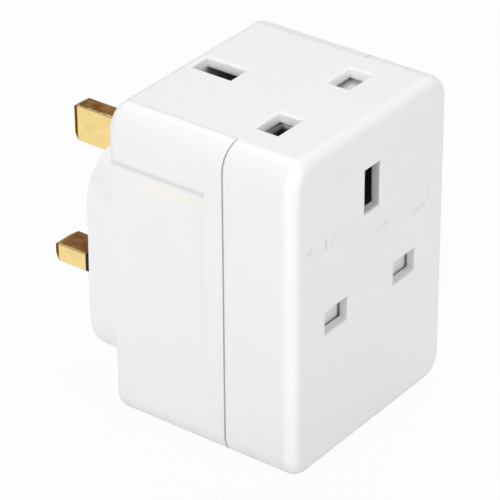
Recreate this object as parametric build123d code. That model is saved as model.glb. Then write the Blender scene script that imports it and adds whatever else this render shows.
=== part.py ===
"""Three-way plug-in socket adapter for rectangular three-pin 13 A plugs.

A white block with brass plug pins on its rear boss and sockets on its front, top and bottom faces.
Frame in millimetres: X to the right seen from the front, Y from the front face towards the wall, Z up.
Pieces are drawn with Y measured from the front face and Z from the bottom face. They are moved once,
on export, so that the origin lies on the bottom face under the middle of the whole part.
"""
import os

from build123d import *

# Housing
BODY_WIDTH = 50.0
BODY_HEIGHT = 67.0
BODY_DEPTH = 42.8
CORNER_RADIUS = 5.0
FRONT_EDGE_RADIUS = 2.5
REAR_EDGE_RADIUS = 1.8
WALL = 2.0
REAR_WALL = 2.2

# Joint between the front cover and the rear shell
SEAM_DEPTH = 15.7
SEAM_GAP = 0.4
STRIP_GAP = 0.03
LIP_THICKNESS = 1.2
LIP_REACH = 3.0
LIP_ROOT = 2.5

# Finger grip on both sides: deepest under its ledge, and leaning out to nothing at the foot of the boss
GRIP_DEPTH = 0.6
GRIP_RISE = 22.85
GRIP_STEP = 0.9
GRIP_ROUND = 1.3
GRIP_START = 20.0

# Raised plug boss
BOSS_HEIGHT = 44.5
BOSS_DROP = 1.4
BOSS_PROUD = 5.9
BOSS_RADIUS = 10.0
BOSS_EDGE_RADIUS = 0.5
BOSS_WALL = 2.2
BOSS_FACE = 2.8

# Plug pins and the pins of the plugs that the sockets take
PIN_SPACING = 22.23
EARTH_PITCH = 22.23
LINE_PIN_WIDTH = 6.35
LINE_PIN_THICKNESS = 3.97
LINE_PIN_LENGTH = 17.9
EARTH_PIN_WIDTH = 3.97
EARTH_PIN_HEIGHT = 7.92
EARTH_PIN_LENGTH = 22.3
PIN_TIP_LENGTH = 1.6
PIN_TIP_INSET = 1.0
PIN_EDGE_RADIUS = 0.3
PIN_FLANGE = 1.35
PIN_FLANGE_THICKNESS = 2.0
PIN_SLOT_GAP = 0.05
PIN_RISE = 0.9
SLEEVE_LENGTH = 9.5
SLEEVE_WALL = 0.6

# Socket holes
FRONT_SOCKET_RISE = 8.4
SIDE_SOCKET_SETBACK = 18.38
EARTH_HOLE_WIDTH = 4.94
EARTH_HOLE_HEIGHT = 9.2
LINE_HOLE_WIDTH = 7.32
LINE_HOLE_HEIGHT = 4.9
HOLE_EDGE = 0.45

# Shutters
SHUTTER_GAP = 0.7
SHUTTER_THICKNESS = 1.6
SHUTTER_COVER = 0.85
SHUTTER_TRAVEL = 5.8
SHUTTER_STEM = 4.0
SHUTTER_RAMP = 3.0
RAMP_DEPTH = 12.4
CUP_DEPTH = 3.6
CUP_WALL = 0.8
RAIL_GAP = 0.2
RAIL_WALL = 1.2
RAIL_LIP = 1.0

# Shutter springs
SPRING_DIAMETER = 3.0
SPRING_WIRE = 0.45
SPRING_TURNS = 4
SPRING_LENGTH = 8.0
SPRING_SEAT = 1.4
SPRING_PEG_RADIUS = 0.8
SPRING_PEG_LENGTH = 1.6

# Contact clips and strips
CLIP_SHEET = 0.6
CLIP_PINCH = 0.35
PIN_TAIL_GAP = 0.2
CLIP_FLARE = 0.9
CLIP_LEAD = 2.0
CLIP_WIDTH = 5.6
EARTH_CLIP_WIDTH = 7.0
CLIP_MOUTH = 8.6
EARTH_CLIP_MOUTH = 5.2
TIP_ROOM = 0.7
STRIP = 0.8
STRIP_WIDTH = 6.0
STRIP_CLEARANCE = 2.4

# Fuse and its carrier
FUSE_LENGTH = 25.4
FUSE_DIAMETER = 6.35
FUSE_CAP_LENGTH = 6.0
FUSE_CAP_WALL = 0.25
FUSE_CLIP_WIDTH = 4.6
FUSE_CLIP_GAP = 0.02
FUSE_CLIP_FLARE = 0.5
FUSE_BACK_GAP = 0.1
CARRIER_WIDTH = 31.7
CARRIER_HEIGHT = 8.9
CARRIER_FACE = 1.8
CARRIER_GAP = 0.15
CARRIER_END = 1.3
CARRIER_REACH = 4.6
CRADLE_WIDTH = 10.0
CRADLE_WALL = 1.0
SHROUD_WALL = 1.2
NOTCH_WIDTH = 4.0
NOTCH_DEPTH = 1.0

# Screws that hold the front cover
SCREW_X = 18.8
POST_RADIUS = 2.7
POST_SINK = 0.2
SCREW_RADIUS = 1.2
SCREW_HEAD_RADIUS = 2.2
SCREW_HEAD_DEPTH = 1.3
SCREW_LENGTH = 13.0
SCREW_GAP = 0.05
DRIVE_RADIUS = 0.9
DRIVE_DEPTH = 0.8

# Places that follow from the sizes above
SEAT_Y = BODY_DEPTH + BOSS_PROUD
BOSS_INNER_Y = SEAT_Y - BOSS_FACE
MIDDLE_Z = BODY_HEIGHT / 2
BOSS_TOP = MIDDLE_Z - BOSS_DROP + BOSS_HEIGHT / 2
BOSS_FOOT = MIDDLE_Z - BOSS_DROP - BOSS_HEIGHT / 2
GRIP_TOP = MIDDLE_Z + GRIP_RISE
PIN_CENTRE_Z = MIDDLE_Z + PIN_RISE
FUSE_Z = MIDDLE_Z
FRONT_SOCKET_Z = MIDDLE_Z + FRONT_SOCKET_RISE
SIDE_SOCKET_Y = BODY_DEPTH - SIDE_SOCKET_SETBACK
REAR_INNER_Y = BODY_DEPTH - REAR_WALL
TOTAL_DEPTH = SEAT_Y + EARTH_PIN_LENGTH
COVER_STRIP_X = BODY_WIDTH / 2 - CORNER_RADIUS
PIN_X = PIN_SPACING / 2
PIN_V = EARTH_PITCH / 2
LINE_WEB = LINE_PIN_LENGTH + TIP_ROOM
EARTH_WEB = EARTH_PIN_LENGTH + TIP_ROOM
SHUTTER_TOP = WALL + SHUTTER_GAP
SHUTTER_BACK = SHUTTER_TOP + SHUTTER_THICKNESS
BAR_TOP_V = -PIN_V + LINE_HOLE_HEIGHT / 2 + SHUTTER_COVER
BAR_LOW_V = -PIN_V - LINE_HOLE_HEIGHT / 2 - SHUTTER_COVER
BAR_HALF = PIN_X + LINE_HOLE_WIDTH / 2 + SHUTTER_COVER
SPRING_STOP_V = BAR_LOW_V - SPRING_LENGTH
SIDE_SPRING_LENGTH = SIDE_SOCKET_Y + BAR_LOW_V - WALL
SPRING_W = SHUTTER_TOP + SPRING_DIAMETER / 2
FUSE_Y = SEAT_Y - CARRIER_FACE - FUSE_BACK_GAP - FUSE_DIAMETER / 2
POST_Z = BODY_HEIGHT - WALL - POST_RADIUS + POST_SINK
CARRIER_SEAT_Y = BOSS_INNER_Y - CARRIER_REACH
OVERCUT = 1.0

# Each socket's own plane: x across its holes with the line hole on the right, y towards its earth
# hole, z out of the face
SOCKETS = {
    "front": Plane(origin=(0, 0, FRONT_SOCKET_Z), x_dir=(1, 0, 0), z_dir=(0, -1, 0)),
    "top": Plane(origin=(0, SIDE_SOCKET_Y, BODY_HEIGHT), x_dir=(1, 0, 0), z_dir=(0, 0, 1)),
    "bottom": Plane(origin=(0, SIDE_SOCKET_Y, 0), x_dir=(-1, 0, 0), z_dir=(0, 0, -1)),
}


def block(x, y, z):
    """Box between a low and a high limit on each axis."""
    spans = (x, y, z)
    middle = [(low + high) / 2 for low, high in spans]
    return Pos(*middle) * Box(*[high - low for low, high in spans])


def slab(x, y, depth):
    """Box in a socket's own plane, with its depth counted inwards from the face."""
    return block(x, y, (-depth[1], -depth[0]))


def about(middle, width):
    """Limits of a width centred on a place."""
    return middle - width / 2, middle + width / 2


def upright_plate(outline, y_low, y_high, z):
    """Flat outline that faces the wall, carried from one depth to another."""
    return extrude(Plane((0, y_high, z), x_dir=(1, 0, 0), z_dir=(0, -1, 0)) * outline, y_high - y_low)


def bar_y(radius, x, y_low, y_high, z):
    """Round bar along Y."""
    return upright_plate(Pos(x, 0) * Circle(radius), y_low, y_high, z)


def body_block():
    """Outer form of the housing: long edges rounded first, then the front and rear faces' edges."""
    body = block(about(0, BODY_WIDTH), (0, BODY_DEPTH), (0, BODY_HEIGHT))
    body = fillet(body.edges().filter_by(Axis.Y), CORNER_RADIUS)
    body = fillet(body.faces().sort_by(Axis.Y)[0].edges(), FRONT_EDGE_RADIUS)
    return fillet(body.faces().sort_by(Axis.Y)[-1].edges(), REAR_EDGE_RADIUS)


def body_room():
    """Hollow of the housing."""
    room = block(about(0, BODY_WIDTH - 2 * WALL), (WALL, REAR_INNER_Y), (WALL, BODY_HEIGHT - WALL))
    return fillet(room.edges().filter_by(Axis.Y), CORNER_RADIUS - WALL)


def cover_zone(seam_gap, strip_gap):
    """Space that the front cover takes: the body ahead of the seam, with a strip over the top and one
    under the bottom that run back to the rear face."""
    half = COVER_STRIP_X + strip_gap
    rear = (0, BODY_DEPTH + OVERCUT)
    whole = (-OVERCUT, BODY_HEIGHT + OVERCUT)
    ahead = block(about(0, BODY_WIDTH + OVERCUT), (-OVERCUT, SEAM_DEPTH + seam_gap), whole)
    top = block((-half, half), rear, (BODY_HEIGHT - WALL - strip_gap, BODY_HEIGHT + OVERCUT))
    bottom = block((-half, half), rear, (-OVERCUT, WALL + strip_gap))
    return ahead + top + bottom


def hole_profile(width):
    """Section through a socket hole: straight through the wall, with a round where it meets the face."""
    straight = Pos(0, -WALL / 2) * Rectangle(width, WALL + 2 * OVERCUT)
    outside = Pos(0, OVERCUT / 2) * Rectangle(width + 2 * (HOLE_EDGE + OVERCUT), OVERCUT)
    section = straight + outside
    at_face = section.vertices().filter_by(lambda corner: abs(corner.Y) < HOLE_EDGE)
    return fillet(at_face.sort_by(lambda corner: abs(corner.X))[:2], HOLE_EDGE)


def hole(x, y, width, height):
    """Cutter for a socket hole: two sections crossed, so that the rounds of its edges meet in mitres."""
    across = extrude(Plane.XZ * hole_profile(width), height, both=True)
    along = extrude(Plane.YZ * hole_profile(height), width, both=True)
    return Pos(x, y) * (across & along)


def socket_holes():
    """Earth, line and neutral holes in a socket's own plane."""
    holes = hole(0, PIN_V, EARTH_HOLE_WIDTH, EARTH_HOLE_HEIGHT)
    for side in (-1, 1):
        holes += hole(side * PIN_X, -PIN_V, LINE_HOLE_WIDTH, LINE_HOLE_HEIGHT)
    return holes


def shutter_rails(cupped):
    """Lipped rails inside the face that the shutter's bar slides between, closed where it stops. The rail
    on the neutral side of a cupped bar is deeper."""
    rails = []
    inner = BAR_HALF + RAIL_GAP
    run = (BAR_LOW_V - SHUTTER_TRAVEL, BAR_TOP_V)
    stop = (BAR_TOP_V, BAR_TOP_V + RAIL_WALL)
    for side in (-1, 1):
        lip_top = SHUTTER_BACK + RAIL_GAP
        if cupped and side < 0:
            lip_top += CUP_DEPTH
        lip_depth = (lip_top, lip_top + RAIL_WALL)
        rail_depth = (WALL - POST_SINK, lip_depth[1])
        wall = sorted((side * inner, side * (inner + RAIL_WALL)))
        lip = sorted((side * (inner - RAIL_LIP), side * (inner + RAIL_WALL)))
        rails.append(slab(wall, run, rail_depth))
        rails.append(slab(lip, run, lip_depth))
        rails.append(slab(lip, stop, rail_depth))
    return rails


def spring_stop():
    """Rib inside the front face that the front shutter's spring pushes against."""
    seat = (WALL - POST_SINK, SPRING_W + SPRING_DIAMETER / 2)
    return slab(about(0, SHUTTER_STEM), (SPRING_STOP_V - SPRING_SEAT, SPRING_STOP_V), seat)


def screw_places():
    """Corners of the rear face that take the cover's screws."""
    return [(side * SCREW_X, z) for side in (-1, 1) for z in (BODY_HEIGHT - POST_Z, POST_Z)]


def front_cover():
    cover = (body_block() - body_room()) & cover_zone(0, 0)
    for x, z in screw_places():
        cover += bar_y(POST_RADIUS, x, 0, REAR_INNER_Y, z) & body_room()
    for name, plane in SOCKETS.items():
        for rail in shutter_rails(cupped=name != "front"):
            cover += plane.location * rail
        cover -= plane.location * socket_holes()
    cover += SOCKETS["front"].location * spring_stop()
    for x, z in screw_places():
        cover -= bar_y(SCREW_RADIUS, x, BODY_DEPTH - SCREW_LENGTH - OVERCUT, BODY_DEPTH, z)
    return cover


def seam_lips():
    """Tongues on the rear shell's sides that reach forward inside the front cover."""
    outer = BODY_WIDTH / 2 - WALL
    straight = (CORNER_RADIUS, BODY_HEIGHT - CORNER_RADIUS)
    rear = SEAM_DEPTH + SEAM_GAP + LIP_ROOT
    lips = []
    for side in (-1, 1):
        tongue = sorted((side * (outer - STRIP_GAP - LIP_THICKNESS), side * (outer - STRIP_GAP)))
        root = sorted((side * (outer - STRIP_GAP - LIP_THICKNESS), side * (outer + WALL / 2)))
        lips.append(block(tongue, (SEAM_DEPTH - LIP_REACH, rear), straight))
        lips.append(block(root, (SEAM_DEPTH + SEAM_GAP, rear), straight))
    return lips


def grip_x(z):
    """Half the width between the two grips at a height."""
    return BODY_WIDTH / 2 - GRIP_DEPTH * (z - BOSS_FOOT) / (GRIP_TOP - BOSS_FOOT)


def grip_recess(side):
    """Wedge cut from one side, open at the rear, whose floor runs on into the side of the boss. Its ledge is
    a slope that is rounded at both ends."""
    face = BODY_WIDTH / 2
    step_low = GRIP_TOP - GRIP_STEP
    above = GRIP_TOP + GRIP_ROUND
    corners = [
        (face, BOSS_FOOT),
        (grip_x(step_low), step_low),
        (face, GRIP_TOP),
        (face, above),
        (face + OVERCUT, above),
        (face + OVERCUT, BOSS_FOOT),
    ]
    wedge = Polygon(*[(side * x, z) for x, z in corners], align=None)
    step_ends = wedge.vertices().filter_by_position(Axis.Y, step_low - OVERCUT, GRIP_TOP + OVERCUT)
    return upright_plate(fillet(step_ends, GRIP_ROUND), GRIP_START, BODY_DEPTH + OVERCUT, 0)


def boss_outline(inset):
    """Boss seen from the wall: its sides follow the grips and its corners are well rounded."""
    low = BOSS_FOOT + inset
    high = BOSS_TOP - inset
    corners = [(-1, low), (1, low), (1, high), (-1, high)]
    form = Polygon(*[(side * (grip_x(z) - inset), z) for side, z in corners], align=None)
    return fillet(form.vertices(), BOSS_RADIUS - inset)


def boss():
    form = upright_plate(boss_outline(0), REAR_INNER_Y, SEAT_Y, 0)
    return fillet(form.faces().sort_by(Axis.Y)[-1].edges(), BOSS_EDGE_RADIUS)


def boss_room():
    return upright_plate(boss_outline(BOSS_WALL), REAR_INNER_Y - OVERCUT, BOSS_INNER_Y, 0)


def plug_slots():
    """Through slots in the boss face for the three pins."""
    gap = 2 * PIN_SLOT_GAP
    through = (BOSS_INNER_Y - OVERCUT, SEAT_Y + OVERCUT)
    earth_rows = about(PIN_CENTRE_Z + PIN_V, EARTH_PIN_HEIGHT + gap)
    slots = [block(about(0, EARTH_PIN_WIDTH + gap), through, earth_rows)]
    for side in (-1, 1):
        across = about(side * PIN_X, LINE_PIN_WIDTH + gap)
        slots.append(block(across, through, about(PIN_CENTRE_Z - PIN_V, LINE_PIN_THICKNESS + gap)))
    return slots


def carrier_shroud():
    """Guide walls around the fuse carrier, inside the boss."""
    width = CARRIER_WIDTH + 2 * (CARRIER_GAP + SHROUD_WALL)
    height = CARRIER_HEIGHT + 2 * (CARRIER_GAP + SHROUD_WALL)
    return block(about(0, width), (CARRIER_SEAT_Y - SHROUD_WALL, BOSS_INNER_Y), about(FUSE_Z, height))


def carrier_pocket():
    """Well for the fuse carrier, with a ledge at each end that the carrier's end walls seat on."""
    rows = about(FUSE_Z, CARRIER_HEIGHT + 2 * CARRIER_GAP)
    well = block(about(0, CARRIER_WIDTH + 2 * CARRIER_GAP), (CARRIER_SEAT_Y, SEAT_Y + OVERCUT), rows)
    between = about(0, CARRIER_WIDTH - 2 * CARRIER_END)
    return well + block(between, (CARRIER_SEAT_Y - SHROUD_WALL - OVERCUT, CARRIER_SEAT_Y), rows)


def screw_form(x, z, gap):
    """Countersunk screw, or with a gap round its shank the hole that it passes through."""
    shank = bar_y(SCREW_RADIUS + gap, x, BODY_DEPTH - SCREW_LENGTH, BODY_DEPTH, z)
    top = Plane((x, BODY_DEPTH, z), x_dir=(1, 0, 0), z_dir=(0, 1, 0))
    wide = top * Circle(SCREW_HEAD_RADIUS)
    narrow = top.offset(-SCREW_HEAD_DEPTH) * Circle(SCREW_RADIUS)
    return shank + loft([narrow, wide])


def rear_shell():
    shell = body_block() - body_room()
    for side in (-1, 1):
        shell -= grip_recess(side)
    shell += boss()
    shell -= boss_room()
    shell += carrier_shroud()
    shell -= carrier_pocket()
    for slot in plug_slots():
        shell -= slot
    shell -= cover_zone(SEAM_GAP, STRIP_GAP)
    for lip in seam_lips():
        shell += lip
    for x, z in screw_places():
        shell -= screw_form(x, z, SCREW_GAP)
    return shell


def cover_screws():
    screws = []
    for x, z in screw_places():
        key = Pos(x, 0) * RegularPolygon(DRIVE_RADIUS, 6)
        drive = upright_plate(key, BODY_DEPTH - DRIVE_DEPTH, BODY_DEPTH, z)
        screws.append(screw_form(x, z, 0) - drive)
    return Compound(children=screws)


def pin_bar(x, z, width, height, y_low, y_high):
    """Rectangular brass bar along Y with eased long edges and a tapered tip."""
    bar = block(about(x, width), (y_low, y_high), about(z, height))
    tip = bar.faces().sort_by(Axis.Y)[-1]
    bar = chamfer(tip.edges(), PIN_TIP_INSET, PIN_TIP_LENGTH, reference=tip)
    return fillet(bar.edges().filter_by(Axis.Y), PIN_EDGE_RADIUS)


def pin_flange(x, z, width, height):
    """Collar that holds a pin against the inside of the boss face."""
    collar = (BOSS_INNER_Y - PIN_FLANGE_THICKNESS, BOSS_INNER_Y)
    return block(about(x, width + 2 * PIN_FLANGE), collar, about(z, height + 2 * PIN_FLANGE))


def earth_tail_y():
    """Inner end of the earth pin, just ahead of the rear wall."""
    return REAR_INNER_Y - PIN_TAIL_GAP


def fuse_pad_y():
    """Inner end of the line and neutral pins, level with the backs of the fuse clips."""
    return FUSE_Y - FUSE_DIAMETER / 2 - TIP_ROOM - CLIP_SHEET


def earth_pin():
    z = PIN_CENTRE_Z + PIN_V
    bar = pin_bar(0, z, EARTH_PIN_WIDTH, EARTH_PIN_HEIGHT, earth_tail_y(), SEAT_Y + EARTH_PIN_LENGTH)
    return bar + pin_flange(0, z, EARTH_PIN_WIDTH, EARTH_PIN_HEIGHT)


def sleeve_span():
    return SEAT_Y - BOSS_FACE, SEAT_Y + SLEEVE_LENGTH


def sleeve_core(x, width, height):
    """Neck of a pin, which its sleeve closes round."""
    wall = 2 * SLEEVE_WALL
    return block(about(x, width - wall), sleeve_span(), about(PIN_CENTRE_Z - PIN_V, height - wall))


def pin_sleeve(side):
    x = side * PIN_X
    form = block(about(x, LINE_PIN_WIDTH), sleeve_span(), about(PIN_CENTRE_Z - PIN_V, LINE_PIN_THICKNESS))
    form = fillet(form.edges().filter_by(Axis.Y), PIN_EDGE_RADIUS)
    return form - sleeve_core(x, LINE_PIN_WIDTH, LINE_PIN_THICKNESS)


def line_pin(side):
    x = side * PIN_X
    z = PIN_CENTRE_Z - PIN_V
    bar = pin_bar(x, z, LINE_PIN_WIDTH, LINE_PIN_THICKNESS, fuse_pad_y(), SEAT_Y + LINE_PIN_LENGTH)
    sleeved = block(about(x, LINE_PIN_WIDTH), sleeve_span(), about(z, LINE_PIN_THICKNESS))
    core = sleeve_core(x, LINE_PIN_WIDTH, LINE_PIN_THICKNESS)
    return (bar - sleeved) + core + pin_flange(x, z, LINE_PIN_WIDTH, LINE_PIN_THICKNESS)


def shutter_bar(cupped):
    """Bar behind the line and neutral holes. A cupped bar drops to a deeper tray at the neutral hole."""
    rows = (BAR_LOW_V, BAR_TOP_V)
    if not cupped:
        return slab((-BAR_HALF, BAR_HALF), rows, (SHUTTER_TOP, SHUTTER_BACK))
    inner = -PIN_X + LINE_HOLE_WIDTH / 2
    cup = slab((-BAR_HALF, inner + 2 * CUP_WALL), rows, (SHUTTER_TOP, SHUTTER_BACK + CUP_DEPTH))
    well_across = (-BAR_HALF + CUP_WALL, inner + CUP_WALL)
    well = slab(well_across, (BAR_LOW_V, BAR_TOP_V - CUP_WALL), (0, SHUTTER_TOP + CUP_DEPTH))
    return slab((inner, BAR_HALF), rows, (SHUTTER_TOP, SHUTTER_BACK)) + cup - well


def shutter(cupped):
    """Slider in a socket's own plane: bar, stem, and a ramp that an earth pin pushes aside."""
    earth_low = PIN_V - EARTH_HOLE_HEIGHT / 2
    ramp_top = PIN_V - EARTH_PIN_HEIGHT / 2 + SHUTTER_TRAVEL
    stem_end = earth_low - SHUTTER_COVER
    stem = slab(about(0, SHUTTER_STEM), (BAR_LOW_V, stem_end), (SHUTTER_TOP, SHUTTER_BACK))
    seat_depth = (SHUTTER_TOP, SPRING_W + SPRING_DIAMETER / 2)
    seat = slab(about(0, SHUTTER_STEM), (BAR_LOW_V, BAR_LOW_V + SPRING_SEAT), seat_depth)
    ramp_points = [
        (stem_end, -SHUTTER_TOP),
        (ramp_top, -RAMP_DEPTH + SHUTTER_THICKNESS),
        (ramp_top, -RAMP_DEPTH),
        (ramp_top - SHUTTER_THICKNESS, -RAMP_DEPTH),
        (stem_end - SHUTTER_STEM / 2, -SHUTTER_BACK),
        (stem_end - SHUTTER_STEM / 2, -SHUTTER_TOP),
    ]
    ramp = extrude(Plane.YZ * Polygon(*ramp_points, align=None), SHUTTER_RAMP / 2, both=True)
    peg_start = Plane((0, BAR_LOW_V, -SPRING_W), x_dir=(1, 0, 0), z_dir=(0, -1, 0))
    peg = extrude(peg_start * Circle(SPRING_PEG_RADIUS), SPRING_PEG_LENGTH)
    return shutter_bar(cupped) + stem + seat + ramp + peg


def shutter_spring(length):
    """Coil spring of flat-sided wire along the shutter's travel, in a socket's own plane."""
    coil_radius = (SPRING_DIAMETER - SPRING_WIRE) / 2
    height = length - SPRING_WIRE
    path = Helix(height / SPRING_TURNS, height, coil_radius)
    wire = Plane(path @ 0, z_dir=path % 0) * RegularPolygon(SPRING_WIRE / 2, 6)
    turned = Rot(X=-90) * sweep(wire, path=path)
    return Pos(0, BAR_LOW_V - length + SPRING_WIRE / 2, -SPRING_W) * turned


def contact_clip(gap, width, mouth, web, flare=CLIP_FLARE):
    """Folded clip that opens out of the face: two leaves with flared lips on a flat web."""
    leaf = gap / 2
    back = leaf + CLIP_SHEET
    half = [
        (leaf + flare, -mouth),
        (leaf, -mouth - CLIP_LEAD),
        (leaf, -web),
        (0, -web),
        (0, -web - CLIP_SHEET),
        (back, -web - CLIP_SHEET),
        (back, -mouth - CLIP_LEAD),
        (back + flare, -mouth),
    ]
    profile = Polygon(*half, align=None)
    profile += mirror(profile, about=Plane.YZ)
    return extrude(Plane.XZ * profile, width / 2, both=True)


def earth_clip():
    clip = contact_clip(EARTH_PIN_WIDTH - CLIP_PINCH, EARTH_CLIP_WIDTH, EARTH_CLIP_MOUTH, EARTH_WEB)
    return Pos(0, PIN_V) * clip


def line_clip(side, extra_depth=0):
    clip = contact_clip(LINE_PIN_THICKNESS - CLIP_PINCH, CLIP_WIDTH, CLIP_MOUTH, LINE_WEB + extra_depth)
    return Pos(side * PIN_X, -PIN_V) * Rot(Z=90) * clip


# Depths from the front face, and heights, at which the strips meet the backs of the clips
NEUTRAL_Y = LINE_WEB + CLIP_SHEET
LINE_EXTRA = STRIP + STRIP_CLEARANCE
LINE_Y = NEUTRAL_Y + LINE_EXTRA
EARTH_Y = EARTH_WEB + CLIP_SHEET
LOW_TAB_Z = LINE_WEB + CLIP_SHEET
HIGH_TAB_Z = BODY_HEIGHT - LOW_TAB_Z
SIDE_CLIP_Y = SIDE_SOCKET_Y - PIN_V
TAB_FRONT_Y = SIDE_CLIP_Y - STRIP_WIDTH / 2


def sheet(low):
    """Limits of a strip's thickness that starts at a place."""
    return low, low + STRIP


def neutral_busbar():
    """Strip from the neutral pin to the neutral clips. The bottom socket's neutral is on the right, so the
    strip crosses over midway between that socket's tabs and the front line clip."""
    left = about(-PIN_X, STRIP_WIDTH)
    right = about(PIN_X, STRIP_WIDTH)
    clip_low = FRONT_SOCKET_Z - PIN_V - (LINE_PIN_THICKNESS - CLIP_PINCH) / 2 - CLIP_SHEET
    cross_low, cross_high = about((LOW_TAB_Z + STRIP + clip_low) / 2, STRIP_WIDTH / 2 + STRIP)
    upright = sheet(NEUTRAL_Y)
    bar = block(left, upright, (cross_low, HIGH_TAB_Z))
    bar += block(left, (TAB_FRONT_Y, upright[1]), (HIGH_TAB_Z - STRIP, HIGH_TAB_Z))
    bar += block((left[0], right[1]), upright, (cross_low, cross_high))
    bar += block(right, upright, (LOW_TAB_Z, cross_high))
    bar += block(right, (TAB_FRONT_Y, upright[1]), sheet(LOW_TAB_Z))
    bar += block(left, (upright[0], fuse_pad_y()), (cross_high - STRIP, cross_high))
    pin_low = PIN_CENTRE_Z - PIN_V - LINE_PIN_THICKNESS / 2
    bar += block(left, (fuse_pad_y() - STRIP, fuse_pad_y()), (pin_low, cross_high))
    return bar


def line_busbar():
    """Strip from the load fuse clip to the line clips. The bottom socket's line is on the left."""
    left = about(-PIN_X, STRIP_WIDTH)
    right = about(PIN_X, STRIP_WIDTH)
    upright = sheet(LINE_Y)
    bar = block(right, upright, (LOW_TAB_Z, HIGH_TAB_Z))
    bar += block(right, (TAB_FRONT_Y, upright[1]), (HIGH_TAB_Z - STRIP, HIGH_TAB_Z))
    bar += block((left[0], right[1]), upright, (LOW_TAB_Z, LOW_TAB_Z + STRIP_WIDTH / 2))
    bar += block(left, (TAB_FRONT_Y, upright[1]), sheet(LOW_TAB_Z))
    rows = about(FUSE_Z, STRIP_WIDTH)
    pad = fuse_pad_y()
    cross = (pad - 2 * STRIP - STRIP_CLEARANCE, pad - STRIP - STRIP_CLEARANCE)
    inner = FUSE_LENGTH / 2 - FUSE_CAP_LENGTH - STRIP
    bar += block(right, (upright[0], cross[1]), (rows[1] - STRIP, rows[1]))
    bar += block((-inner - STRIP, right[1]), cross, rows)
    bar += block((-inner - STRIP, -inner), (cross[0], pad), rows)
    bar += block((-FUSE_LENGTH / 2, -inner), (pad - STRIP, pad), rows)
    return bar


def earth_busbar():
    """Strip from the earth pin to the three earth clips, down the middle of the housing."""
    middle = about(0, STRIP_WIDTH)
    clip_y = SIDE_SOCKET_Y + PIN_V
    clip_front = clip_y - EARTH_CLIP_WIDTH / 2
    top_tab = BODY_HEIGHT - EARTH_Y - STRIP
    pin_z = PIN_CENTRE_Z + PIN_V
    spine = sheet(clip_front + STRIP)
    link_z = FUSE_Z + STRIP_WIDTH / 2 + STRIP_CLEARANCE
    front_earth_z = FRONT_SOCKET_Z + PIN_V
    bar = block(middle, spine, (EARTH_Y, top_tab + STRIP))
    bar += block(middle, (clip_front, earth_tail_y()), sheet(top_tab))
    bar += block(middle, (clip_front, clip_y + EARTH_CLIP_WIDTH / 2), sheet(EARTH_Y))
    tail = (earth_tail_y() - STRIP, earth_tail_y())
    bar += block(middle, tail, (top_tab, pin_z + EARTH_PIN_HEIGHT / 2))
    bar += block(middle, sheet(EARTH_Y), (link_z, front_earth_z + EARTH_CLIP_WIDTH / 2))
    bar += block(middle, (EARTH_Y, spine[1]), sheet(link_z))
    return bar


def fuse_clip(side):
    """Folded clip that opens to the rear and holds one cap of the fuse."""
    gap = FUSE_DIAMETER + 2 * FUSE_CLIP_GAP
    web = FUSE_DIAMETER + TIP_ROOM
    clip = contact_clip(gap, FUSE_CLIP_WIDTH, CLIP_SHEET, web, FUSE_CLIP_FLARE)
    x = side * (FUSE_LENGTH - FUSE_CAP_LENGTH) / 2
    facing_rear = Plane((x, FUSE_Y + FUSE_DIAMETER / 2, FUSE_Z), x_dir=(0, 0, 1), z_dir=(0, 1, 0))
    return facing_rear.location * clip


def fuse_link():
    """Strip from the inner end of the line pin to the first fuse clip."""
    pin_low = PIN_CENTRE_Z - PIN_V - LINE_PIN_THICKNESS / 2
    across = about(PIN_X, STRIP_WIDTH)
    return block(across, (fuse_pad_y() - STRIP, fuse_pad_y()), (pin_low, FUSE_Z + STRIP_WIDTH / 2))


def bar_x(radius, x_low, x_high):
    """Round bar along X on the fuse's axis."""
    start = Plane((x_low, FUSE_Y, FUSE_Z), x_dir=(0, 1, 0), z_dir=(1, 0, 0))
    return extrude(start * Circle(radius), x_high - x_low)


def fuse_body():
    """Ceramic tube of the fuse, inside its caps."""
    half = FUSE_LENGTH / 2 - FUSE_CAP_WALL
    return bar_x(FUSE_DIAMETER / 2 - FUSE_CAP_WALL, -half, half)


def fuse_caps():
    caps = []
    body = fuse_body()
    for side in (-1, 1):
        ends = sorted((side * FUSE_LENGTH / 2, side * (FUSE_LENGTH / 2 - FUSE_CAP_LENGTH)))
        caps.append(bar_x(FUSE_DIAMETER / 2, *ends) - body)
    return Compound(children=caps)


def fuse_carrier():
    """Drawer flush with the boss face: a plate, a cradle round the fuse and a guide wall at each end."""
    face = (SEAT_Y - CARRIER_FACE, SEAT_Y)
    plate = block(about(0, CARRIER_WIDTH), face, about(FUSE_Z, CARRIER_HEIGHT))
    inner = FUSE_DIAMETER / 2 - FUSE_CAP_WALL
    ring = bar_x(inner + CRADLE_WALL, -CRADLE_WIDTH / 2, CRADLE_WIDTH / 2)
    ring += block(about(0, CRADLE_WIDTH), (FUSE_Y, face[0]), about(FUSE_Z, 2 * (inner + CRADLE_WALL)))
    opening = about(FUSE_Z, 2 * inner - CRADLE_WALL)
    mouth = block(about(0, CRADLE_WIDTH), (FUSE_Y - FUSE_DIAMETER, FUSE_Y), opening)
    ring = ring - bar_x(inner, -CRADLE_WIDTH / 2, CRADLE_WIDTH / 2) - mouth
    carrier = plate + ring
    for side in (-1, 1):
        end = sorted((side * CARRIER_WIDTH / 2, side * (CARRIER_WIDTH / 2 - CARRIER_END)))
        carrier += block(end, (CARRIER_SEAT_Y, SEAT_Y), about(FUSE_Z, CARRIER_HEIGHT))
    low = FUSE_Z - CARRIER_HEIGHT / 2
    notch_rows = (low - OVERCUT, low + NOTCH_DEPTH)
    return carrier - block(about(0, NOTCH_WIDTH), (SEAT_Y - NOTCH_DEPTH, SEAT_Y + OVERCUT), notch_rows)


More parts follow.
